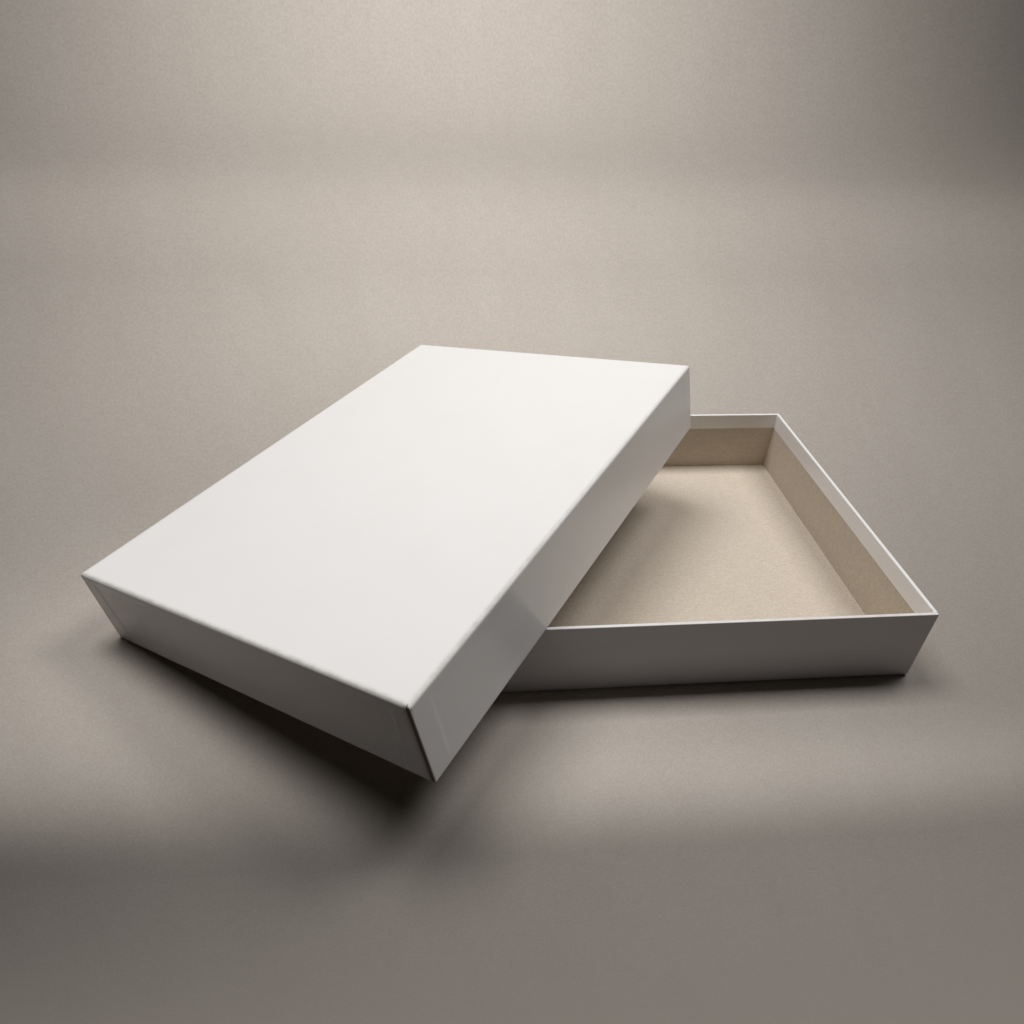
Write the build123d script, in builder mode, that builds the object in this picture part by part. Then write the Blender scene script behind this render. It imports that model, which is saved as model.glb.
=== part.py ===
from build123d import *
from math import asin, cos, degrees, radians, sin
from types import SimpleNamespace
import os

# A rigid set-up box for papers: a shallow tray and a lift-off lid of the same make.
# Each half is one blank of greyboard, half cut along its fold lines and folded up,
# held at its four corners by paper stays and covered by one sheet of white paper
# that goes over the rim and 12 mm down the inside.
# The lid is off and leans across the tray: one corner of its rim is on the table,
# one long side lies on the tray's front rim and one short side on its back rim.
# Millimetres, +Z up, origin at the middle of the tray's underside, on the table.

# Box sizes
inner_length = 305.0    # between the bare short walls of the tray, for sheets of 297 x 210
inner_width = 222.0     # between the bare long walls of the tray
base_depth = 49.0       # table to rim
lid_depth = 48.0        # top of the lid to its rim
lid_play = 1.5          # between the tray's outside and the lid's inside, each side

# Sheet goods
board = 1.6             # greyboard
score_depth = 1.3       # how deep the fold lines are cut, from the outside
flap_gap = 0.1          # slit between two neighbouring walls of a blank
corner_round = 0.3      # on the board's upright outer corners, crushed by the stays
paper = 0.15            # white covering paper
stay_paper = 0.10       # brown stay paper
glue = 0.05             # one line of glue

# Covering sheet
turn_in = 12.0          # how far the sheet goes down inside the walls, from the rim
ear_at_fold = 9.0       # how far a long side's ear reaches round the corner, at the closed side
ear_at_rim = 17.0       # and at the rim
panel_inset = 1.4       # a short side's panel stops this far from the corner
turned_inset = 4.0      # and its turn-in, which is narrower, this far
seam_gap = 0.15         # open line between a short side's panel and the corner
ear_margin = 1.0        # from an ear's free edges to the folds above and below it
rim_round = 0.30        # outside radius of the paper over the rim

# Corner stays
stay_leg = 12.0         # on each side of the corner

# Where the leaning lid rests
front_rest = -63.0      # along the front rim, from the middle of the box
back_rest = -5.0        # along the back rim
lid_turn = 21.3         # between the lid's long sides and the line through both rests
rest_gap = 0.20         # clearance at each rest

# Layers, measured outwards from the bare board
first_inner = stay_paper + glue
first_outer = first_inner + paper
second_inner = first_outer + glue
second_outer = second_inner + paper
inside_layer = glue + paper
long_wall = first_outer + board + inside_layer
short_wall = second_outer + board + inside_layer
fold_radius = score_depth + first_outer
corner_bridge = turned_inset - board - inside_layer
sheet_corner = corner_round + first_outer


def half(name, board_length, board_width, depth, front):
    """Sizes of one half of the box, in its own frame: z goes from its closed side to its rim."""
    return SimpleNamespace(
        name=name,
        board_length=board_length,
        board_width=board_width,
        length=board_length + 2 * second_outer,
        width=board_width + 2 * first_outer,
        depth=depth,
        board_start=first_outer,
        board_rim=depth - paper - glue,
        ends={"left": -1, "right": 1},
        sides={"front": front, "back": -front},
    )


base = half(
    "base",
    inner_length + 2 * board,
    inner_width + 2 * board,
    base_depth,
    front=-1,
)
lid = half(
    "lid",
    base.length + 2 * (lid_play + inside_layer + board),
    base.width + 2 * (lid_play + inside_layer + board),
    lid_depth,
    front=1,
)
base.seat = Plane.XY

# The lid's rim plane holds the level line through both rests and slopes from it to the
# table. Lengths in that plane are taken along the line and down the slope from it.
front_point = Vector(front_rest, -base.width / 2, base_depth + rest_gap)
back_point = Vector(back_rest, base.width / 2, base_depth + rest_gap)
rest_span = (back_point - front_point).length
along = (back_point - front_point).normalized()
level = Vector(-along.Y, along.X, 0)
turn = radians(lid_turn)
reach_along_width = lid.width - long_wall
reach_along_length = lid.length - short_wall - rest_span * cos(turn)
corner_along = reach_along_width * sin(turn) - reach_along_length * cos(turn)
corner_down = reach_along_width * cos(turn) + reach_along_length * sin(turn)
lid_tilt = asin(base_depth / corner_down)
down = level * cos(lid_tilt) - Vector(0, 0, sin(lid_tilt))
lid_long_way = along * cos(turn) - down * sin(turn)
lid_short_way = along * -sin(turn) - down * cos(turn)
lid_up = lid_short_way.cross(lid_long_way)
rim_corner = front_point + along * corner_along + down * corner_down
rim_middle = rim_corner + lid_short_way * (lid.width / 2) + lid_long_way * (lid.length / 2)
lid.seat = Plane(
    origin=rim_middle + lid_up * lid_depth,
    x_dir=lid_long_way,
    z_dir=-lid_up,
)
print("lid tilt in degrees", round(degrees(lid_tilt), 2))
print("lid frame", lid.seat)


def rim_face(part, seat):
    """The flat face that is furthest from the closed side."""
    return part.faces().sort_by(Axis(seat.origin, seat.z_dir))[-1]


def folded_block(seat, length, width, height, fold, corner):
    """A block whose closed side is rounded along its edges by fold, and whose upright
    edges are rounded by corner. Two neighbouring folds meet in a mitre."""
    along_x = Plane(origin=seat.origin, x_dir=seat.x_dir, z_dir=-seat.y_dir)
    along_y = Plane(origin=seat.origin, x_dir=seat.y_dir, z_dir=seat.x_dir)
    with BuildPart() as block:
        with BuildSketch(seat):
            RectangleRounded(length, width, corner)
        extrude(amount=height)
        for section, span, reach in ((along_x, length, width), (along_y, width, length)):
            with BuildSketch(section):
                with Locations((0, height)):
                    RectangleRounded(span, 2 * height, fold)
            extrude(amount=reach, both=True, mode=Mode.INTERSECT)
    return block.part


os.makedirs("parts", exist_ok=True)

for tray in (base, lid):

    # Greyboard blank. Each fold is a cut that has opened on the outside, so a square
    # notch runs round the closed side and only the uncut skin joins floor and wall.
    # The long walls cover the ends of the short ones.
    wall_start = tray.board_start + score_depth
    wall_height = tray.board_rim - wall_start
    with BuildPart() as blank:
        with BuildSketch(tray.seat.offset(tray.board_start)):
            Rectangle(tray.board_length - 2 * score_depth, tray.board_width - 2 * score_depth)
        extrude(amount=board)
        with BuildSketch(tray.seat.offset(wall_start)):
            with Locations((0, (tray.board_width - board) / 2), (0, (board - tray.board_width) / 2)):
                Rectangle(tray.board_length, board)
            with Locations(((tray.board_length - board) / 2, 0), ((board - tray.board_length) / 2, 0)):
                Rectangle(board, tray.board_width - 2 * (board + flap_gap))
            RectangleRounded(tray.board_length, tray.board_width, corner_round, mode=Mode.INTERSECT)
        extrude(amount=wall_height)
    blank.part.label = f"{tray.name}_board"
    export_step(blank.part, f"parts/{tray.name}_board.step")

    # Corner stays: strips of stay paper glued round the outside of each corner.
    for end_name, end in tray.ends.items():
        for side_name, side in tray.sides.items():
            corner_x = end * (tray.board_length + stay_paper) / 2
            corner_y = side * (tray.board_width + stay_paper) / 2
            with BuildPart() as stay:
                with BuildSketch(tray.seat.offset(wall_start)):
                    with BuildLine():
                        FilletPolyline(
                            (corner_x - end * stay_leg, corner_y),
                            (corner_x, corner_y),
                            (corner_x, corner_y - side * stay_leg),
                            radius=corner_round + stay_paper / 2,
                        )
                    trace(line_width=stay_paper)
                extrude(amount=wall_height)
            stay.part.label = f"{tray.name}_stay_{side_name}_{end_name}"
            export_step(stay.part, f"parts/{tray.name}_stay_{side_name}_{end_name}.step")

    # Covering sheet, first layer: closed side, long sides, corners, ears and turn-in,
    # as a thin rounded shell that folds over the rim and down the inside, where it
    # bridges the corners in a curve as far as the short sides' panels leave room.
    first_length = tray.board_length + 2 * first_outer
    opening_length = tray.board_length - 2 * (board + inside_layer)
    opening_width = tray.board_width - 2 * (board + inside_layer)
    turn_in_start = tray.depth - turn_in
    with BuildPart() as wrap:
        add(folded_block(tray.seat, first_length, tray.width, tray.depth, fold_radius, sheet_corner))
        room = folded_block(
            tray.seat.offset(paper),
            first_length - 2 * paper,
            tray.width - 2 * paper,
            tray.depth - 2 * paper,
            fold_radius - paper,
            sheet_corner - paper,
        )
        add(room, mode=Mode.SUBTRACT)
        with BuildSketch(tray.seat.offset(turn_in_start)):
            RectangleRounded(opening_length + 2 * paper, opening_width + 2 * paper, corner_bridge)
        extrude(amount=turn_in)
        with BuildSketch(tray.seat.offset(turn_in_start)):
            RectangleRounded(opening_length, opening_width, corner_bridge - paper)
        extrude(amount=turn_in, mode=Mode.SUBTRACT)
        fillet(rim_face(wrap, tray.seat).edges(), rim_round)

        # Away from the corners the short sides lose this layer, except for the ears,
        # which widen towards the rim.
        panel_width = tray.board_width - 2 * panel_inset
        turned_width = tray.board_width - 2 * turned_inset
        fold_line = tray.board_length / 2 - score_depth
        middle_of_wall = (tray.board_length - board) / 2
        inside = opening_length / 2 - paper
        outside = tray.length / 2 + paper
        half_at_fold = tray.board_width / 2 - ear_at_fold
        half_at_rim = tray.board_width / 2 - ear_at_rim
        for end in (-1, 1):
            end_on = Plane(
                origin=tray.seat.origin + tray.seat.x_dir * end * fold_line,
                x_dir=tray.seat.y_dir * end,
                z_dir=tray.seat.x_dir * end,
            )
            with BuildSketch(end_on):
                Polygon(
                    (-half_at_fold, 0),
                    (half_at_fold, 0),
                    (half_at_rim, tray.depth),
                    (-half_at_rim, tray.depth),
                    align=None,
                )
            extrude(amount=outside - fold_line, mode=Mode.SUBTRACT)
        windows = [
            (0, wall_start + ear_margin, fold_line, panel_width),
            (tray.board_rim - ear_margin, tray.depth, middle_of_wall, panel_width),
            (turn_in_start, tray.depth, inside, turned_width),
        ]
        for low, high, inner_x, window_width in windows:
            outer_x = outside if inner_x > inside else middle_of_wall
            with BuildSketch(tray.seat.offset(low)):
                for end in (-1, 1):
                    with Locations((end * (inner_x + outer_x) / 2, 0)):
                        Rectangle(outer_x - inner_x, window_width)
            extrude(amount=high - low, mode=Mode.SUBTRACT)

        # Second layer: each short side's panel covers the ears, and its narrower end goes
        # over the inner half of the rim and down the inside.
        section = Plane(
            origin=tray.seat.origin,
            x_dir=tray.seat.x_dir,
            z_dir=-tray.seat.y_dir,
        )
        low_line = paper / 2
        rim_line = tray.depth - paper / 2
        panel_x = (tray.length - paper) / 2
        turned_x = (opening_length + paper) / 2
        rim_bend = rim_round - paper / 2
        for end in (-1, 1):
            with BuildSketch(section):
                with BuildLine():
                    FilletPolyline(
                        (end * (fold_line - score_depth), low_line),
                        (end * panel_x, low_line),
                        (end * panel_x, rim_line),
                        (end * middle_of_wall, rim_line),
                        radius=[fold_radius - paper / 2, rim_bend],
                    )
                trace(line_width=paper)
            extrude(amount=panel_width / 2 - seam_gap, both=True)
            with BuildSketch(section):
                with BuildLine():
                    FilletPolyline(
                        (end * middle_of_wall, rim_line),
                        (end * turned_x, rim_line),
                        (end * turned_x, turn_in_start),
                        radius=rim_bend,
                    )
                trace(line_width=paper)
            extrude(amount=turned_width / 2 - seam_gap, both=True)
    wrap.part.label = f"{tray.name}_wrap"
    export_step(wrap.part, f"parts/{tray.name}_wrap.step")
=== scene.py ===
import math

import bmesh
import bpy
import numpy as np
from mathutils import Matrix, Vector


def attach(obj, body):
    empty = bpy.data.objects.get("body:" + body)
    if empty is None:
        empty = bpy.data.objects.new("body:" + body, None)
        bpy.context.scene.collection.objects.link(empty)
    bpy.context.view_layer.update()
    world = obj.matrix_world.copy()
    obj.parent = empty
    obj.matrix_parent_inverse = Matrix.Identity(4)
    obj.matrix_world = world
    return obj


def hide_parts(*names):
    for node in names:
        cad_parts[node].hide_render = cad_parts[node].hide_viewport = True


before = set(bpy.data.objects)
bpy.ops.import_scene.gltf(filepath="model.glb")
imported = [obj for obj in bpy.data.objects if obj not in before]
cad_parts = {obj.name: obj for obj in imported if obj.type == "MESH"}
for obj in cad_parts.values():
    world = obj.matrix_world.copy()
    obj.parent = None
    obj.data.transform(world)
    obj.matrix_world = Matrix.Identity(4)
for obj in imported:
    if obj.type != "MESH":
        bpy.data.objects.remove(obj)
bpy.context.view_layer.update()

print("box: the packed frame is loaded")

# Lengths here are in millimetres, and meshes are turned into metres as they are made.
mm = 0.001

box = {
    "innerLength": 305.0,   # between the tray's bare short walls
    "innerWidth": 222.0,    # between its bare long walls
    "baseDepth": 49.0,
    "lidDepth": 48.0,
    "lidPlay": 1.5,         # between tray and closed lid, each side
    "board": 1.6,
    "paper": 0.15,
    "stayPaper": 0.10,
    "glue": 0.05,
    "turnIn": 12.0,
    "earAtFold": 9.0,       # how far an ear reaches round the corner, at the closed side
    "earAtRim": 17.0,
    "cornerRound": 0.3,     # of the board's upright outer corners
    "panelInset": 1.4,      # from the corner to the cut beside a short side's panel
    "turnedInset": 4.0,     # and beside its turn-in, which is narrower
    "seamGap": 0.15,
    "earMargin": 1.0,
    "stayLeg": 12.0,
    "frontRest": -63.0,     # where the leaning lid crosses the front rim
    "backRest": -5.0,       # and the back rim
    "lidTurn": 21.3,        # degrees between its long sides and the line through both
    "restGap": 0.20,
}

firstOuter = box["stayPaper"] + box["glue"] + box["paper"]
secondOuter = firstOuter + box["glue"] + box["paper"]
insideLayer = box["glue"] + box["paper"]
longWall = firstOuter + box["board"] + insideLayer
shortWall = secondOuter + box["board"] + insideLayer
sheetCorner = box["cornerRound"] + firstOuter


def unit(v):
    return v / np.linalg.norm(v)


def halfSizes(name, boardLength, boardWidth, depth):
    # One half of the box in its own frame, with z from its closed side to its rim.
    return {
        "name": name,
        "boardLength": boardLength,
        "boardWidth": boardWidth,
        "depth": depth,
        "halfX": boardLength / 2 + firstOuter,
        "halfY": boardWidth / 2 + firstOuter,
    }


base = halfSizes(
    "base",
    box["innerLength"] + 2 * box["board"],
    box["innerWidth"] + 2 * box["board"],
    box["baseDepth"],
)
lidMore = 2 * (box["lidPlay"] + insideLayer + box["board"])
lid = halfSizes(
    "lid",
    base["boardLength"] + 2 * secondOuter + lidMore,
    base["boardWidth"] + 2 * firstOuter + lidMore,
    box["lidDepth"],
)
base["origin"] = np.zeros(3)
base["axes"] = np.eye(3)


def leaningSeat():
    # The lid's rim plane holds the line through both rests and slopes down from it to the
    # table, by asin(depth of the tray / length down the slope to the corner on the table).
    rimHeight = box["baseDepth"] + box["restGap"]
    front = np.array([box["frontRest"], -base["halfY"], rimHeight])
    back = np.array([box["backRest"], base["halfY"], rimHeight])
    span = np.linalg.norm(back - front)
    along = unit(back - front)
    level = np.array([-along[1], along[0], 0])
    turn = math.radians(box["lidTurn"])
    reachWidth = 2 * lid["halfY"] - longWall
    reachLength = lid["boardLength"] + 2 * secondOuter - shortWall - span * math.cos(turn)
    cornerAlong = reachWidth * math.sin(turn) - reachLength * math.cos(turn)
    cornerDown = reachWidth * math.cos(turn) + reachLength * math.sin(turn)
    tilt = math.asin(box["baseDepth"] / cornerDown)
    down = level * math.cos(tilt) - np.array([0, 0, math.sin(tilt)])
    longWay = along * math.cos(turn) - down * math.sin(turn)
    shortWay = along * -math.sin(turn) - down * math.cos(turn)
    up = np.cross(shortWay, longWay)
    corner = front + along * cornerAlong + down * cornerDown
    middle = corner + shortWay * lid["halfY"] + longWay * (lid["boardLength"] / 2 + secondOuter)
    return middle + up * lid["depth"], np.array([longWay, shortWay, -up])


lid["origin"], lid["axes"] = leaningSeat()


def spread(low, high, step):
    # Even steps from low to high, no longer than step.
    return np.linspace(low, high, max(2, int(math.ceil((high - low) / step)) + 1))


def smooth(t):
    # 3 t^2 - 2 t^3 between 0 and 1
    t = np.clip(t, 0, 1)
    return t * t * (3 - 2 * t)


# Covering paper

sheet = {
    "foldReach": 1.7,       # how far in from a side the closed panel starts to round over
    "foldDrop": 1.8,        # and how far down the side the rounding ends
    "arcSteps": 7,          # faces round a quarter turn
    "rimRound": 0.55,       # small enough to clear the square edge of the board beneath
    "rimSteps": 4,          # faces round it
    "bridgeRadius": 0.9,    # of the sheet round an inside corner
    "fine": 0.9,            # column spacing near a corner
    "fineReach": 24.0,
    "coarse": 5.0,
    "rowStep": 3.0,
    "rimRowStep": 0.4,
    "earColumns": 8,
    "stayStep": 0.13,       # how deep the sheet drops past the end of a corner stay
    "earStep": 0.13,        # and past the end of an ear
    "stepWidth": 1.1,
    "longEase": (3.0, 4.0),     # a long side is flat this near fold and rim, and eases in over this
    "shortEase": (2.0, 4.0),
    "waveDepth": 0.03,
    "waveScale": (1.4, 2.0),    # along a side and up it
    "waveLengths": (31.0, 23.0, 53.0, 71.0),   # each is a wavelength over 2 pi
    "waveSeed": {"base": 0.4, "lid": 2.7},
    "panelWave": 0.10,
    "panelEase": 12.0,      # over which the closed panel's wave rises from its border
    "edgeWander": 0.25,     # of the turn-in's cut edge
    "wanderScale": 2.3,
    "tipDepth": 0.16,       # of the gathers at the closed side's corners
    "tipGathers": 3,
    "tipReach": 1.0,
    "joinWithin": 0.002,
}

# Painted shade and rubbing: a darker grey painted along the folds, rims and upright corners, stronger
# at the -x end, with duller paper there; and painted shade on the sunken bare strips beside the short
# panels' cuts.
wearAndShade = {
    "creaseAt": 0.6,        # painted shade and rubbing lie along a crease this far into the fold
    "creaseReach": 1.0,
    "creaseLeast": 0.2,     # how much of that painted shade and rubbing is left at the +x end
    "fallLength": 240.0,
    # rim and corner: painted shade and rubbing along the rims and on the upright corners
    "rim": 0.6,
    "rimReach": 0.5,
    "corner": 0.25,
    "stripShade": {"base": (0.5, 0.5), "lid": (1.0, 0.15)},   # painted shade of the sunken bare strip at (-x, +y), and at the others
    "seamFade": (1.6, 2.2),     # that painted shade fades round the corner: smooth(1.6 - 2.2 |sin t|)
    "edgeShade": 0.60,       # painted shade on the panel's own cut edge, as a share of the strip's
    "edgeShadeReach": 3.0,
}


def bell(away, reach):
    # exp(-(away / reach)^2)
    return np.exp(-(away / reach) ** 2)


def crease(along):
    # A bell round the fold's crease
    return bell(along - wearAndShade["creaseAt"], wearAndShade["creaseReach"])


def moreAtMinusX(x):
    # Painted fold shade and rubbing are strongest at the -x end: least + (1 - least) smooth(1/2 - x /
    # length)
    least = wearAndShade["creaseLeast"]
    return least + (1 - least) * smooth(0.5 - x / wearAndShade["fallLength"])


def profile(depth, wall, lead):
    # A line from the closed panel round the fold, up the wall, over the rim and down the
    # turn-in, as rows of inset from the outside, height, outward normal (out, up) and inset
    # of the corner's centre. The fold is a quarter ellipse: inset reach (1 - sin a), height
    # drop (1 - cos a). Two folds meet in a mitre. lead is a flat start.
    arc = np.linspace(0, math.pi / 2, sheet["arcSteps"] + 1)[:-1]
    small = np.linspace(0, math.pi / 2, sheet["rimSteps"] + 1)
    reach, drop = sheet["foldReach"], sheet["foldDrop"]
    r = sheet["rimRound"]
    middle = wall - insideLayer - box["board"] / 2
    lowEar = drop + box["earMargin"]
    highEar = depth - insideLayer - box["earMargin"]
    wallZ = np.concatenate([[drop], spread(lowEar, highEar, sheet["rowStep"])])
    topStep = sheet["rimRowStep"]
    topD = np.concatenate([spread(r, middle, topStep)[1:], spread(middle, wall - r, topStep)[1:]])
    downZ = spread(depth - box["turnIn"], depth - r, sheet["rowStep"])[::-1][1:]
    one, nil = np.ones_like, np.zeros_like
    cosS, sinS = np.cos(small), np.sin(small)
    steep = np.hypot(drop * np.sin(arc), reach * np.cos(arc))
    foldOut, foldUp = drop * np.sin(arc) / steep, -reach * np.cos(arc) / steep
    stretches = [
        (reach - reach * np.sin(arc), drop - drop * np.cos(arc), foldOut, foldUp),
        (nil(wallZ), wallZ, one(wallZ), nil(wallZ)),
        (r - r * cosS, depth - r + r * sinS, cosS, sinS),
        (topD, depth + nil(topD), nil(topD), one(topD)),
        (wall - r + r * sinS[1:], depth - r + r * cosS[1:], -sinS[1:], cosS[1:]),
        (wall + nil(downZ), downZ, -one(downZ), nil(downZ)),
    ]
    inset, height, out, up = [np.concatenate(c) for c in zip(*stretches)]
    if lead:
        inset = np.concatenate([[reach + lead], inset])
        height = np.concatenate([[0], height])
        out = np.concatenate([[0], out])
        up = np.concatenate([[-1], up])
    low = height < depth / 2
    onRim = np.clip((inset - r) / (wall - 2 * r), 0, 1) * ~low
    centre = np.maximum(sheetCorner, inset * low)
    centre = centre + (wall + sheet["bridgeRadius"] - sheetCorner) * onRim
    run = np.concatenate([[0], np.cumsum(np.hypot(np.diff(inset), np.diff(height)))])

    # Outside and inside meet in the row over the middle of the board.
    split = int(np.argmin(np.abs(inset - middle) + depth * (height < depth)))
    return {
        "inset": inset,
        "height": height,
        "out": out,
        "up": up,
        "centre": centre,
        "run": run,
        "outside": slice(0, split + 1),
        "inside": slice(split, len(inset)),
        # edge: painted shade and rubbing along the fold's crease and the rim
        "edge": crease(run - lead) * low + wearAndShade["rim"] * bell(height - depth, wearAndShade["rimReach"]),
    }


def part(lines, rows):
    # Some rows of a profile
    return {key: value[rows] for key, value in lines.items() if isinstance(value, np.ndarray)}


def columns(half, steady):
    # Places along a side, close together near its corners.
    reach = half - sheet["foldReach"]
    near = spread(steady, reach, sheet["fine"])
    fine = spread(half - sheet["fineReach"], steady, sheet["fine"])
    far = spread(0, half - sheet["fineReach"], sheet["coarse"])
    right = np.unique(np.round(np.concatenate([far, fine, near]), 6))
    return np.concatenate([-right[:0:-1], right])


def slide(place, centre, steady, reach):
    # Places beyond steady are drawn along as the corner's centre moves; the others stay.
    beyond = np.maximum(np.abs(place) - steady, 0) / (reach - steady)
    held = np.minimum(np.abs(place), steady)
    return np.sign(place) * (held + beyond * (centre[:, None] - steady))


def stepIn(distance, reach):
    # 0 over what lies beneath and 1 past its end
    return smooth((distance - reach) / sheet["stepWidth"] + 0.5)


def eased(z, depth, ease):
    # 0 near the fold and the rim and 1 between: smooth((z - a) / b) smooth((depth - a - z) / b)
    start, length = ease
    return smooth((z - start) / length) * smooth((depth - start - z) / length)


def waves(u, v, seed):
    # A sum of three slow sines, from 0 to 1: one crossed, one slanted and one steeper
    alongU, alongV, slanted, steeper = sheet["waveLengths"]
    a = np.sin(u / alongU + 1.3 * seed) * np.cos(v / alongV + seed)
    b = np.sin((u + v) / slanted + 2.1 * seed)
    c = np.cos((u - 2 * v) / steeper + 0.7 * seed)
    return 0.5 + (a + b + c) / 6


class Patches:
    # Grids of one sheet, joined where they meet. Each point has its place on the flat sheet,
    # how much painted shade and rubbing it has at folds, rims and corners, and how much painted shade
    # of the bare strip it has.
    def __init__(self):
        self.points, self.faces, self.flat, self.worn, self.seamShade = [], [], [], [], []
        self.count = 0

    def add(self, points, normals, flat, worn, seamShade=0.0):
        # Faces are wound so that they look the way of the normals.
        rows, cols = points.shape[:2]
        index = np.arange(rows * cols).reshape(rows, cols) + self.count
        quads = np.stack([index[:-1, :-1], index[:-1, 1:], index[1:, 1:], index[1:, :-1]], -1)
        quads = quads.reshape(-1, 4)
        across = points[:-1, 1:] - points[:-1, :-1]
        onward = points[1:, :-1] - points[:-1, :-1]
        facing = (np.cross(across, onward) * normals[:-1, :-1]).sum()
        if facing < 0:
            quads = quads[:, ::-1]
        self.points.append(points.reshape(-1, 3))
        self.faces.append(quads)
        self.flat.append(flat.reshape(-1, 2))
        self.worn.append(worn.reshape(-1))
        self.seamShade.append((worn * 0 + seamShade).reshape(-1))
        self.count += rows * cols

    def mesh(self, name, half):
        local = np.concatenate(self.points)
        faces = np.concatenate(self.faces)
        flat = np.concatenate(self.flat)
        world = (half["origin"] + local @ half["axes"]) * mm
        data = bpy.data.meshes.new(name)
        data.from_pydata(world.tolist(), [], faces.tolist())
        layer = data.uv_layers.new(name="flatSheet")
        layer.data.foreach_set("uv", (flat[faces.ravel()] * mm).astype(np.float32).ravel())
        for attribute, values in (("worn", self.worn), ("seamShade", self.seamShade)):
            made = data.attributes.new(attribute, "FLOAT", "POINT")
            made.data.foreach_set("value", np.concatenate(values).astype(np.float32))
        bm = bmesh.new()
        bm.from_mesh(data)
        bmesh.ops.remove_doubles(bm, verts=bm.verts, dist=sheet["joinWithin"] * mm)
        for edge in bm.edges:
            edge.smooth = not edge.is_boundary
        bm.to_mesh(data)
        bm.free()
        data.shade_smooth()
        return bpy.data.objects.new(name, data)


def longSide(half, rows, start, xs, steadyX, seed):
    # One long side with its two corners: the centre rectangle plus the corner radius along
    # the outward normal, (x + (c - d) cos t, y + (c - d) sin t, z), with c the centre's inset
    # and d the row's. start is where its short ends begin on the short sides.
    halfX, halfY, depth = half["halfX"], half["halfY"], half["depth"]
    reachX, reachY = halfX - sheet["foldReach"], halfY - sheet["foldReach"]
    corner = np.linspace(0, math.pi / 2, sheet["arcSteps"] + 1)[1:-1]
    ends = np.array([0.0, 1.0])
    share = np.concatenate([ends, 1 + 0 * corner, 1 + 0 * xs, 1 + 0 * corner, ends[::-1]])
    outer = reachX + 0 * np.concatenate([ends, corner])
    placeX = np.concatenate([-outer, xs, outer])
    turn = np.concatenate([
        math.pi + 0 * ends,
        math.pi - corner,
        math.pi / 2 + 0 * xs,
        math.pi / 2 - corner,
        0 * ends,
    ])
    centre, inset, height = rows["centre"], rows["inset"], rows["height"]
    out, up = rows["out"][:, None], rows["up"][:, None]
    x = slide(placeX, halfX - centre, steadyX, reachX)
    y = start + (halfY - centre[:, None] - start) * share
    radius = np.maximum(centre - inset, 0)[:, None]
    cosT, sinT = np.cos(turn), np.sin(turn)
    z = height[:, None] + 0 * x
    normals = np.stack([out * cosT, out * sinT, up + 0 * x], -1)

    # The sheet sinks a little past the end of a stay, waves, and gathers at the closed
    # side's corners.
    onWall = eased(z, depth, sheet["longEase"]) * (out > 0.99)
    fromCorner = half["boardLength"] / 2 - np.abs(placeX)
    onLong = np.abs(sinT) > 0.999
    inward = onWall * onLong * sheet["stayStep"] * stepIn(fromCorner, box["stayLeg"])
    waveX, waveZ = sheet["waveScale"]
    inward = inward + onWall * onLong * sheet["waveDepth"] * waves(placeX * waveX, z * waveZ, seed + 1)
    gather = 0.5 - 0.5 * np.cos(4 * sheet["tipGathers"] * turn)
    inCorner = (np.abs(sinT) > 1e-6) & (np.abs(cosT) > 1e-6)
    nearTip = bell(z - sheet["foldDrop"], sheet["tipReach"]) * (out > 0) * (radius > 0.01)
    inward = inward + sheet["tipDepth"] * gather * inCorner * nearTip
    wanderScale = sheet["wanderScale"]
    wander = sheet["edgeWander"] * waves(placeX * wanderScale, y * wanderScale, seed + 4)
    turned = (out < -0.5) * (depth - z) / box["turnIn"]
    points = np.stack([x + radius * cosT, y + radius * sinT, z + turned * wander], -1)
    points = points - normals * inward[..., None]
    fromLong = (1 - share) * (reachY - start) + sheet["foldReach"] * np.abs(turn - math.pi / 2)
    flatX = placeX + np.sign(placeX) * fromLong
    flat = np.stack([flatX + 0 * x, reachY + rows["run"][:, None] + 0 * x], -1)
    # Painted shade and rubbing along folds and rims, more at the -x end, and a little on the upright
    # corners
    worn = np.maximum(rows["edge"][:, None] * moreAtMinusX(x), inCorner * (out > 0.5) * wearAndShade["corner"])

    # Painted shade on the sunken bare strip beside the short side's panel, on the outside wall, at
    # either end
    fadeFrom, fade = wearAndShade["seamFade"]
    strip = smooth(fadeFrom - fade * np.abs(sinT)) * (out > 0.5)
    seamShade = np.stack([strip * (cosT < 0), strip * (cosT > 0)])
    return points, normals, flat, np.clip(worn, 0, 1), seamShade


def earReach(z, depth):
    # How far an ear reaches round its corner at a height, growing evenly towards the rim
    return box["earAtFold"] + (box["earAtRim"] - box["earAtFold"]) * z / depth


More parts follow.
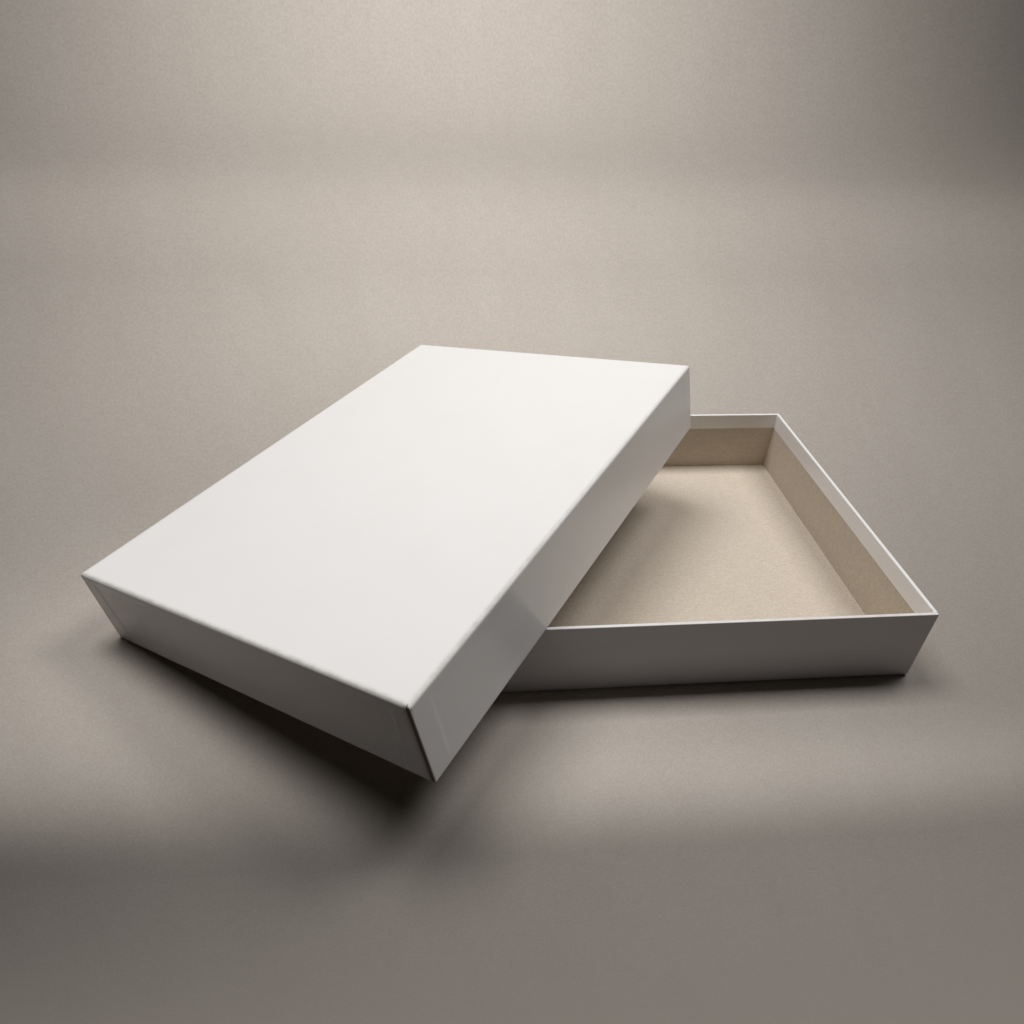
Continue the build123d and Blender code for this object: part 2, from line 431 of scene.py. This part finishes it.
def shortSide(half, rows, across, end, seed):
    # A stretch of a short side's panel: the profile carried straight, (half - d, y, z)
    depth = half["depth"]
    z = rows["height"][:, None] + 0 * across
    out, up = rows["out"][:, None], rows["up"][:, None]
    x = half["boardLength"] / 2 + secondOuter - rows["inset"][:, None] + 0 * across
    normals = np.stack([out + 0 * across, 0 * z, up + 0 * across], -1)
    onWall = eased(z, depth, sheet["shortEase"]) * (out > 0.99)
    fromCorner = half["boardWidth"] / 2 - np.abs(across)
    earHere = earReach(z, depth)
    inward = sheet["stayStep"] * stepIn(fromCorner, box["stayLeg"])
    inward = inward + sheet["earStep"] * stepIn(fromCorner, earHere)
    waveY, waveZ = sheet["waveScale"]
    inward = inward + sheet["waveDepth"] * waves(across * waveY, z * waveZ, seed + 2 + end)
    wander = sheet["edgeWander"] * waves(across * sheet["wanderScale"], 0 * z, seed + 6 + end)
    turned = (out < -0.5) * (depth - z) / box["turnIn"]
    points = np.stack([x, across + 0 * x, z + turned * wander], -1)
    points = points - normals * (onWall * inward)[..., None]
    flatX = half["halfX"] - sheet["foldReach"] + rows["run"][:, None]
    flat = np.stack([flatX + 0 * z, across + 0 * z], -1)
    # Painted shade and rubbing along the panel's folds and rims, more at the -x end
    worn = np.clip(rows["edge"][:, None] * moreAtMinusX(end * x), 0, 1)
    flip = np.array([end, 1, 1])

    # Painted shade on the panel's own cut edge: some of that on the bare strip beside it.
    near, far = wearAndShade["stripShade"][half["name"]]
    dark = np.where((across > 0) & (end < 0), near, far)
    fromCut = np.abs(across).max() - np.abs(across)
    edgeShadeHere = wearAndShade["edgeShade"] * dark * smooth(1 - fromCut / wearAndShade["edgeShadeReach"])
    return points * flip, normals * flip, flat * flip[:2], worn, edgeShadeHere * (out > 0.5)


def coveringSheet(half):
    # The closed panel, two long sides with their corners and ears, and two short sides
    halfX, halfY, depth = half["halfX"], half["halfY"], half["depth"]
    seed = sheet["waveSeed"][half["name"]]
    near, far = wearAndShade["stripShade"][half["name"]]
    cut = half["boardWidth"] / 2 - box["panelInset"]
    turnedCut = half["boardWidth"] / 2 - box["turnedInset"]
    steadyX = half["boardLength"] / 2 - box["turnedInset"]
    reachX, reachY = halfX - sheet["foldReach"], halfY - sheet["foldReach"]
    gap = box["seamGap"]
    panelEdge = cut - gap
    turnedEdge = turnedCut - gap
    xs = columns(halfX, steadyX)
    added = np.array([cut, panelEdge, turnedEdge])
    ys = np.unique(np.round(np.concatenate([columns(halfY, turnedCut), added, -added]), 6))
    half180 = np.array([-1, -1, 1])
    patches = Patches()

    # Closed panel: (x, y, wave), level at its border
    gx, gy = np.meshgrid(xs, ys, indexing="ij")
    inside = np.minimum(reachX - np.abs(gx), reachY - np.abs(gy))
    sink = sheet["panelWave"] * waves(gx, gy, seed) * smooth(inside / sheet["panelEase"])
    down = np.zeros(gx.shape + (3,))
    down[..., 2] = -1
    # Painted shade and rubbing along the closed panel's border, more at the -x end
    foldRubAndShade = crease(-inside) * moreAtMinusX(gx)
    patches.add(np.stack([gx, gy, sink], -1), down, np.stack([gx, gy], -1), foldRubAndShade)

    # Long sides, their outside to the middle of the rim and their inside from there
    side = profile(depth, longWall, 0)
    for rows, start in ((side["outside"], cut), (side["inside"], turnedCut)):
        points, normals, flat, worn, seamShade = longSide(half, part(side, rows), start, xs, steadyX, seed)
        patches.add(points, normals, flat, worn, near * seamShade[0] + far * seamShade[1])
        patches.add(points * half180, normals * half180, -flat, worn, far * seamShade[0] + far * seamShade[1])

    # Ears, under the short sides' panels: from the cut to a line that leans to the middle
    lowest, highest = sheet["foldDrop"] + box["earMargin"] / 2, depth - box["earMargin"]
    rows = (side["inset"] == 0) & (side["height"] > lowest) & (side["height"] < highest)
    earZ = side["height"][rows][:, None]
    share = np.linspace(0, 1, sheet["earColumns"])[None, :]
    earY = cut + (half["boardWidth"] / 2 - earReach(earZ, depth) - cut) * share
    for end in (-1, 1):
        ear = np.stack([end * halfX + 0 * earY, earY, earZ + 0 * earY], -1)
        outward = np.zeros(ear.shape)
        outward[..., 0] = end
        flatEar = np.stack([end * (halfX + halfY - earY), reachY + earZ + 0 * earY], -1)
        plain = np.zeros(earY.shape)
        # The ears carry the bare strip's painted shade beside the cut.
        patches.add(ear, outward, flatEar, plain, near if end < 0 else far)
        patches.add(ear * half180, outward * half180, -flatEar, plain, far)

    # Short sides' panels, wider outside than where they turn in
    panel = profile(depth, shortWall, secondOuter - firstOuter)
    for end in (-1, 1):
        for rows, edge in ((panel["outside"], panelEdge), (panel["inside"], turnedEdge)):
            across = ys[np.abs(ys) < edge + gap / 2]
            patches.add(*shortSide(half, part(panel, rows), across, end, seed))

    name = half["name"] + "_covering_sheet"
    piece = patches.mesh(name, half)
    bpy.context.scene.collection.objects.link(piece)
    thick = piece.modifiers.new("paperThickness", "SOLIDIFY")
    thick.thickness = box["paper"] * mm
    thick.offset = -1
    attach(piece, half["name"])
    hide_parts(half["name"] + "_wrap")
    return piece


sheets = [coveringSheet(base), coveringSheet(lid)]
print("box: covering sheets made")


# Materials

usual = (0.3, 0.7)   # most of a noise's values lie between these


def nodeMaterial(name):
    material = bpy.data.materials.new(name)
    material.use_nodes = True
    tree = material.node_tree
    shader = tree.nodes["Principled BSDF"]
    return material, tree, shader


def node(tree, kind, **values):
    made = tree.nodes.new(kind)
    for key, value in values.items():
        if key in made.inputs:
            made.inputs[key].default_value = value
        else:
            setattr(made, key, value)
    return made


def noise(tree, vector, scale, detail, roughness):
    made = node(tree, "ShaderNodeTexNoise", Scale=scale, Detail=detail, Roughness=roughness)
    tree.links.new(vector, made.inputs["Vector"])
    return made.outputs["Fac"]


def ranged(tree, value, fromLow, fromHigh, toLow, toHigh):
    made = tree.nodes.new("ShaderNodeMapRange")
    slots = ("From Min", "From Max", "To Min", "To Max")
    for slot, number in zip(slots, (fromLow, fromHigh, toLow, toHigh)):
        made.inputs[slot].default_value = number
    tree.links.new(value, made.inputs["Value"])
    return made.outputs["Result"]


def sums(tree, operation, first, second):
    made = tree.nodes.new("ShaderNodeMath")
    made.operation = operation
    for slot, value in zip(made.inputs, (first, second)):
        if isinstance(value, (int, float)):
            slot.default_value = value
        else:
            tree.links.new(value, slot)
    return made.outputs[0]


def blended(tree, share, first, second):
    made = tree.nodes.new("ShaderNodeMix")
    made.data_type = "RGBA"
    for slot, value in (("Factor", share), ("A", first), ("B", second)):
        kinds = ("VALUE",) if slot == "Factor" else ("RGBA",)
        socket = next(s for s in made.inputs if s.name == slot and s.type in kinds)
        if isinstance(value, tuple):
            socket.default_value = value + (1,)
        else:
            tree.links.new(value, socket)
    return next(s for s in made.outputs if s.type == "RGBA")


def bumped(tree, shader, height, depth):
    made = node(tree, "ShaderNodeBump", Strength=1.0, Distance=depth)
    tree.links.new(height, made.inputs["Height"])
    tree.links.new(made.outputs["Normal"], shader.inputs["Normal"])


def directRays(tree):
    # 1 for what the camera and reflections see, 0 for the light that surfaces throw about
    ray = tree.nodes.new("ShaderNodeLightPath").outputs
    direct = sums(tree, "MAXIMUM", ray["Is Camera Ray"], ray["Is Glossy Ray"])
    return sums(tree, "MAXIMUM", direct, ray["Is Transmission Ray"])


whitePaper = {
    "colour": (0.888, 0.866, 0.846),
    "shade": (0.862, 0.838, 0.814),    # cloudy patches
    "shadeShare": 0.6,
    "worn": (0.540, 0.508, 0.476),     # painted shade on folds, rims and upright corners
    "wornLeast": 0.6,                  # of that painted shade is left where the board beneath lies low
    "seamShade": (0.150, 0.103, 0.086),     # painted shade in the sunken bare strip beside a panel's cut
    "roughness": (0.14, 0.22),
    "wornRoughness": 0.35,             # added where the sheet is rubbed
    "seamRoughness": 0.60,
    "specular": 0.5,
    "cloudScale": 28,                  # per metre
    "toothScale": 900,
    "underScale": 140,
    "toothShare": 0.35,                # of its height is added to the board's unevenness
    "bumpDepth": 0.000018,
}


def whitePaperMaterial():
    # Coated paper glued over board: cloudy white, satin, with a fine tooth and the board's
    # slow unevenness under it. Colour = mix(cloudy white, grey of painted fold shade, by the rubbed
    # and shaded share), then towards a dark brown painted shade by the strip's share; both make it
    # duller.
    material, tree, shader = nodeMaterial("white_paper")
    place = tree.nodes.new("ShaderNodeUVMap")
    place.uv_map = "flatSheet"
    flat = place.outputs["UV"]
    worn = node(tree, "ShaderNodeAttribute", attribute_name="worn").outputs["Fac"]
    seamShade = node(tree, "ShaderNodeAttribute", attribute_name="seamShade").outputs["Fac"]
    cloud = noise(tree, flat, whitePaper["cloudScale"], 4, 0.6)
    tooth = noise(tree, flat, whitePaper["toothScale"], 3, 0.6)
    under = noise(tree, flat, whitePaper["underScale"], 3, 0.5)
    share = ranged(tree, cloud, *usual, 0.0, whitePaper["shadeShare"])
    colour = blended(tree, share, whitePaper["colour"], whitePaper["shade"])
    patchy = ranged(tree, under, 0.35, 0.65, whitePaper["wornLeast"], 1.0)
    foldRubAndShade = sums(tree, "MULTIPLY", worn, patchy)
    colour = blended(tree, foldRubAndShade, colour, whitePaper["worn"])
    colour = blended(tree, seamShade, colour, whitePaper["seamShade"])
    tree.links.new(colour, shader.inputs["Base Color"])
    rough = ranged(tree, tooth, *usual, *whitePaper["roughness"])
    wornDull = sums(tree, "MULTIPLY", worn, whitePaper["wornRoughness"])
    seamDull = sums(tree, "MULTIPLY", seamShade, whitePaper["seamRoughness"])
    dull = sums(tree, "ADD", wornDull, seamDull)
    tree.links.new(sums(tree, "ADD", rough, dull), shader.inputs["Roughness"])
    shader.inputs["Specular IOR Level"].default_value = whitePaper["specular"]
    height = sums(tree, "ADD", sums(tree, "MULTIPLY", tooth, whitePaper["toothShare"]), under)
    bumped(tree, shader, height, whitePaper["bumpDepth"])
    return material


greyboard = {
    "colour": (0.666, 0.580, 0.481),
    "dark": (0.489, 0.406, 0.317),
    "light": (0.708, 0.631, 0.534),
    "roughness": (0.86, 0.97),
    "specular": 0.25,
    "fibreStretch": 9,       # fibres lie along the board
    "noises": {              # scale per metre, detail and roughness
        "fibre": (1040, 5, 0.7),
        "mottle": (60, 5, 0.6),
        "fine": (1500, 3, 0.7),
        "grain": (620, 3, 0.7),
        "speck": (420, 2, 0.5),
    },
    "layers": (              # noise, where it starts and ends, share at its end, colour
        ("mottle", 0.30, 0.70, 0.50, "light"),
        ("fibre", 0.40, 0.72, 0.45, "dark"),
        ("grain", 0.35, 0.65, 0.55, "dark"),
        ("speck", 0.70, 0.76, 0.55, "dark"),
        ("speck", 0.30, 0.25, 0.45, "light"),
    ),
    "fineShare": 0.5,        # of its height is added to the fibres'
    "bumpDepth": 0.00006,
}


def greyboardMaterial(name, turn):
    # Recycled board: fibres drawn out along its length, soft mottling, fine grain, and sparse
    # dark and light specks where a fine noise passes a threshold.
    material, tree, shader = nodeMaterial(name)
    place = tree.nodes.new("ShaderNodeTexCoord")
    turned = node(tree, "ShaderNodeMapping", vector_type="POINT")
    turned.inputs["Rotation"].default_value = turn
    tree.links.new(place.outputs["Object"], turned.inputs["Vector"])
    along = node(tree, "ShaderNodeMapping", vector_type="POINT")
    along.inputs["Scale"].default_value = (1 / greyboard["fibreStretch"], 1, 1)
    tree.links.new(turned.outputs["Vector"], along.inputs["Vector"])
    noises = {}
    for key, values in greyboard["noises"].items():
        vector = along if key == "fibre" else turned
        noises[key] = noise(tree, vector.outputs["Vector"], *values)
    colour = greyboard["colour"]
    for key, start, end, most, other in greyboard["layers"]:
        share = ranged(tree, noises[key], start, end, 0.0, most)
        colour = blended(tree, share, colour, greyboard[other])
    tree.links.new(colour, shader.inputs["Base Color"])
    rough = ranged(tree, noises["fine"], *usual, *greyboard["roughness"])
    tree.links.new(rough, shader.inputs["Roughness"])
    shader.inputs["Specular IOR Level"].default_value = greyboard["specular"]
    fine = sums(tree, "MULTIPLY", noises["fine"], greyboard["fineShare"])
    bumped(tree, shader, sums(tree, "ADD", noises["fibre"], fine), greyboard["bumpDepth"])
    return material


stayPaper = {
    "colour": (0.40, 0.26, 0.14),
    "dark": (0.30, 0.19, 0.10),
    "darkLeast": 0.2,
    "roughness": (0.7, 0.85),
    "fibreScale": 700,       # per metre
    "ribScale": 500,
    "ribWaver": 2.0,
    "bumpDepth": 0.00003,
}


def stayPaperMaterial():
    # Brown gummed paper: long fibres and a faint rib
    material, tree, shader = nodeMaterial("stay_paper")
    place = tree.nodes.new("ShaderNodeTexCoord").outputs["Object"]
    fibre = noise(tree, place, stayPaper["fibreScale"], 5, 0.7)
    scale, waver = stayPaper["ribScale"], stayPaper["ribWaver"]
    rib = node(tree, "ShaderNodeTexWave", Scale=scale, Distortion=waver)
    tree.links.new(place, rib.inputs["Vector"])
    fibrous = ranged(tree, fibre, *usual, stayPaper["darkLeast"], 1.0)
    share = sums(tree, "MULTIPLY", fibrous, rib.outputs["Fac"])
    colour = blended(tree, share, stayPaper["colour"], stayPaper["dark"])
    tree.links.new(colour, shader.inputs["Base Color"])
    rough = ranged(tree, fibre, *usual, *stayPaper["roughness"])
    tree.links.new(rough, shader.inputs["Roughness"])
    bumped(tree, shader, fibre, stayPaper["bumpDepth"])
    return material


studio = {
    "colour": (0.668, 0.598, 0.529),
    "shade": (0.627, 0.558, 0.491),
    "thrownBack": (0.352, 0.310, 0.288),   # what other surfaces get from it
    "roughness": 0.85,
    "specular": 0.2,
    "least": 0.25,          # of its colour far out; soft painted pools of light add to it towards the box
    "paintedLightPools": (              # painted pools of light: share added, middle (x, y), reach (x, y)
        (0.63, (-130, 1010), (1210, 530)),
        (0.48, (-175, -80), (190, 100)),
        (0.34, (25, -175), (200, 30)),
        (0.47, (-75, 335), (500, 530)),
        # a painted pool of shade in front of the box, to the left
        (-0.30, (-260, -195), (480, 33)),
    ),
    "evenBeyond": (-0.205, 1.28),   # metres in y; past these the painted pools carry on unchanged
    "evenSoftly": 0.5,
    "grain": 0.080,         # share of colour, each way
    "mottle": 0.020,
    "cloud": 0.016,
    "noises": {             # scale, detail and roughness
        "grain": (0.42, 3, 0.6),
        "mottle": (0.11, 2, 0.5),
        "cloud": (0.022, 3, 0.5),
    },
    "noiseAway": 0.6,       # metres in front of the box from which the noises are drawn out
    "noiseNearest": 0.25,
    "noiseAcross": 880.0,
    "noiseUp": 345.0,
    "noiseRise": 2.0,       # per metre of height
    "cloudSlant": 0.35,
    "cloudStretch": 0.4,
    "low": -0.1,            # just under the box
    "halfWidth": 4200.0,
    "near": -2600.0,
    "bend": 1700.0,         # where the floor starts to rise
    "bendRadius": 1500.0,
    "bendSteps": 24,
    "height": 3200.0,
    "worldGrey": 0.01,      # of the light from all round
    "plain": (0.220, 0.195, 0.172),   # what the camera sees past the photograph's frame
    "plainFront": (-0.19, -0.34),     # metres in y over which the floor passes into it
    "plainSide": (0.40, 1.1),         # and in x, out from the middle of the view
    "viewMiddle": (-0.07, 0.11),      # that middle's x at y = 0, and how fast it moves with y
    "viewSpread": 0.60,               # how fast the view widens with y
}


def studioMaterial():
    # Pale matt backdrop paper: colour x (least + sum of share exp(-distance^2 / reach^2)) x
    # (1 +- grain, mottle and cloud), where the sum paints soft pools of light and one of shade on it.
    # The three noises run in (across x, up (1 - rise z)) / (y + away), so they look as fine far back
    # as in front. The camera and reflections see its own colour, and the light that it throws back is
    # that of a darker paper.
    material, tree, shader = nodeMaterial("studio_paper")
    place = tree.nodes.new("ShaderNodeTexCoord").outputs["Object"]
    separate = tree.nodes.new("ShaderNodeSeparateXYZ")
    tree.links.new(place, separate.inputs[0])
    x, y, z = separate.outputs
    away = sums(tree, "MAXIMUM", sums(tree, "ADD", y, studio["noiseAway"]), studio["noiseNearest"])
    drawn = tree.nodes.new("ShaderNodeCombineXYZ")
    acrossX = sums(tree, "MULTIPLY", x, studio["noiseAcross"])
    tree.links.new(sums(tree, "DIVIDE", acrossX, away), drawn.inputs["X"])
    rise = sums(tree, "MULTIPLY", z, -studio["noiseUp"] * studio["noiseRise"])
    upright = sums(tree, "ADD", rise, studio["noiseUp"])
    tree.links.new(sums(tree, "DIVIDE", upright, away), drawn.inputs["Y"])
    slanted = node(tree, "ShaderNodeMapping", vector_type="POINT")
    slanted.inputs["Rotation"].default_value = (0, 0, studio["cloudSlant"])
    slanted.inputs["Scale"].default_value = (1, studio["cloudStretch"], 1)
    tree.links.new(drawn.outputs["Vector"], slanted.inputs["Vector"])
    noises = {}
    for key, values in studio["noises"].items():
        vector = slanted if key == "cloud" else drawn
        noises[key] = noise(tree, vector.outputs["Vector"], *values)
    share = ranged(tree, noises["cloud"], *usual, 0.0, 1.0)
    seen = blended(tree, share, studio["colour"], studio["shade"])
    direct = directRays(tree)

    # In front of the first even place the painted pools hold, and past the last they hold and widen.
    front, back = studio["evenBeyond"]
    inward = sums(tree, "MINIMUM", sums(tree, "DIVIDE", back + studio["noiseAway"], away), 1.0)
    held = tree.nodes.new("ShaderNodeCombineXYZ")
    tree.links.new(sums(tree, "MULTIPLY", x, inward), held.inputs["X"])
    soft = sums(tree, "SMOOTH_MIN", y, back)
    soft.node.inputs[2].default_value = studio["evenSoftly"]
    tree.links.new(sums(tree, "MAXIMUM", soft, front), held.inputs["Y"])
    level = studio["least"]
    # Painted light: the pools raise the floor's colour towards the box, and the last one darkens it.
    for added, middle, reach in studio["paintedLightPools"]:
        off = node(tree, "ShaderNodeMapping", vector_type="TEXTURE")
        off.inputs["Location"].default_value = (middle[0] * mm, middle[1] * mm, 0)
        off.inputs["Scale"].default_value = (reach[0] * mm, reach[1] * mm, 1000)
        tree.links.new(held.outputs["Vector"], off.inputs["Vector"])
        squared = node(tree, "ShaderNodeVectorMath", operation="DOT_PRODUCT")
        for slot in squared.inputs[:2]:
            tree.links.new(off.outputs["Vector"], slot)
        falling = sums(tree, "EXPONENT", sums(tree, "MULTIPLY", squared.outputs["Value"], -1.0), 0)
        level = sums(tree, "ADD", sums(tree, "MULTIPLY", falling, added), level)
    for key, value in noises.items():
        uneven = ranged(tree, value, *usual, 1 - studio[key], 1 + studio[key])
        level = sums(tree, "MULTIPLY", level, uneven)
    colour = node(tree, "ShaderNodeVectorMath", operation="SCALE")
    tree.links.new(blended(tree, direct, studio["thrownBack"], seen), colour.inputs[0])
    tree.links.new(level, colour.inputs["Scale"])
    tree.links.new(colour.outputs["Vector"], shader.inputs["Base Color"])
    shader.inputs["Roughness"].default_value = studio["roughness"]
    shader.inputs["Specular IOR Level"].default_value = studio["specular"]

    # Past the frame the camera sees one plain tone, the world's:
    # share = max(step(front, y), step(side, |x - middle(y)| - spread max(y, 0)))
    ahead = ranged(tree, y, *studio["plainFront"], 0.0, 1.0)
    wider = sums(tree, "MULTIPLY", sums(tree, "MAXIMUM", y, 0.0), studio["viewSpread"])
    middleX, middleTurn = studio["viewMiddle"]
    offMiddle = sums(tree, "SUBTRACT", x, middleX)
    offMiddle = sums(tree, "SUBTRACT", offMiddle, sums(tree, "MULTIPLY", y, middleTurn))
    wide = sums(tree, "SUBTRACT", sums(tree, "ABSOLUTE", offMiddle, 0.0), wider)
    aside = ranged(tree, wide, *studio["plainSide"], 0.0, 1.0)
    for step in (ahead, aside):
        step.node.interpolation_type = "SMOOTHSTEP"
    past = sums(tree, "MULTIPLY", sums(tree, "MAXIMUM", ahead, aside), direct)
    glow = node(tree, "ShaderNodeEmission", Color=studio["plain"] + (1,), Strength=1.0)
    shown = tree.nodes.new("ShaderNodeMixShader")
    tree.links.new(past, shown.inputs[0])
    tree.links.new(shader.outputs[0], shown.inputs[1])
    tree.links.new(glow.outputs[0], shown.inputs[2])
    tree.links.new(shown.outputs[0], tree.nodes["Material Output"].inputs["Surface"])
    return material


def studioSweep():
    # Floor, quarter bend and wall: a line in (y, z) carried along x
    bend = np.linspace(0, math.pi / 2, studio["bendSteps"] + 1)
    r = studio["bendRadius"]
    y = np.concatenate([[studio["near"]], studio["bend"] + r * np.sin(bend), [studio["bend"] + r]])
    z = np.concatenate([[0], r - r * np.cos(bend), [studio["height"]]]) + studio["low"]
    x = np.array([-studio["halfWidth"], studio["halfWidth"]])
    level = 0 * y[:, None] + 0 * x
    points = np.stack([level + x, level + y[:, None], level + z[:, None]], -1).reshape(-1, 3)
    row = np.arange(len(y) - 1) * 2
    faces = np.stack([row, row + 1, row + 3, row + 2], -1)
    data = bpy.data.meshes.new("studio_sweep")
    data.from_pydata((points * mm).tolist(), [], faces.tolist())
    data.shade_smooth()
    sweep = bpy.data.objects.new("studio_sweep", data)
    bpy.context.scene.collection.objects.link(sweep)
    data.materials.append(studioMaterial())


def dress(piece, material):
    piece.data.materials.clear()
    piece.data.materials.append(material)


paperFinish = whitePaperMaterial()
for piece in sheets:
    dress(piece, paperFinish)
lidTurns = Matrix(lid["axes"].tolist()).to_euler()
dress(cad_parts["base_board"], greyboardMaterial("greyboard_base", (0, 0, 0)))
dress(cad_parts["lid_board"], greyboardMaterial("greyboard_lid", tuple(lidTurns)))
stayFinish = stayPaperMaterial()
for name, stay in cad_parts.items():
    if "_stay_" in name:
        dress(stay, stayFinish)
studioSweep()
print("box: materials and studio made")

# Light and camera

lamps = {   # place, aim and size in metres, and watts
    "left": ((-0.38, 0.25, 1.3), (-0.38, 0.25, 0.0), (0.65, 0.42), 12.1),
    "right": ((0.62, 0.25, 1.3), (0.62, 0.25, 0.0), (0.62, 0.42), 10.4),
    "backdrop": ((0.0, 1.5, 1.7), (0.0, 3.2, 0.8), (2.4, 0.8), 50.0),
}


def areaLamp(name, place, aim, size, watts):
    data = bpy.data.lights.new(name, "AREA")
    data.shape = "RECTANGLE"
    data.size, data.size_y = size
    data.energy = watts
    lamp = bpy.data.objects.new(name, data)
    lamp.location = place
    lamp.rotation_euler = (Vector(aim) - lamp.location).to_track_quat("-Z", "Y").to_euler()
    bpy.context.scene.collection.objects.link(lamp)


for name, values in lamps.items():
    areaLamp(name, *values)


def studioWorld():
    # The camera and reflections see the plain tone, and every other ray a dim grey.
    world = bpy.data.worlds.new("studio")
    world.use_nodes = True
    tree = world.node_tree
    dim = (studio["worldGrey"],) * 3
    colour = blended(tree, directRays(tree), dim, studio["plain"])
    tree.links.new(colour, tree.nodes["Background"].inputs["Color"])
    bpy.context.scene.world = world


studioWorld()
bpy.context.scene.view_settings.view_transform = "Standard"

view = {
    "place": (-110.10, -368.63, 314.40),
    "aim": (-61.97, 55.54, 0.0),
    "roll": 2.52,        # degrees
    "lens": 25.05,
    "sensor": 36,        # its width
    "nearest": 10.0,
}


def photographView():
    data = bpy.data.cameras.new("camera")
    data.sensor_fit = "HORIZONTAL"
    data.sensor_width = view["sensor"]
    data.lens = view["lens"]
    data.clip_start = view["nearest"] * mm
    camera = bpy.data.objects.new("camera", data)
    ahead = (Vector(view["aim"]) - Vector(view["place"])).normalized()
    level = ahead.cross(Vector((0, 0, 1))).normalized()
    right = Matrix.Rotation(math.radians(-view["roll"]), 3, ahead) @ level
    up = right.cross(ahead)
    turned = Matrix((right, up, -ahead)).transposed().to_4x4()
    camera.matrix_world = Matrix.Translation(Vector(view["place"]) * mm) @ turned
    bpy.context.scene.collection.objects.link(camera)
    bpy.context.scene.camera = camera


photographView()
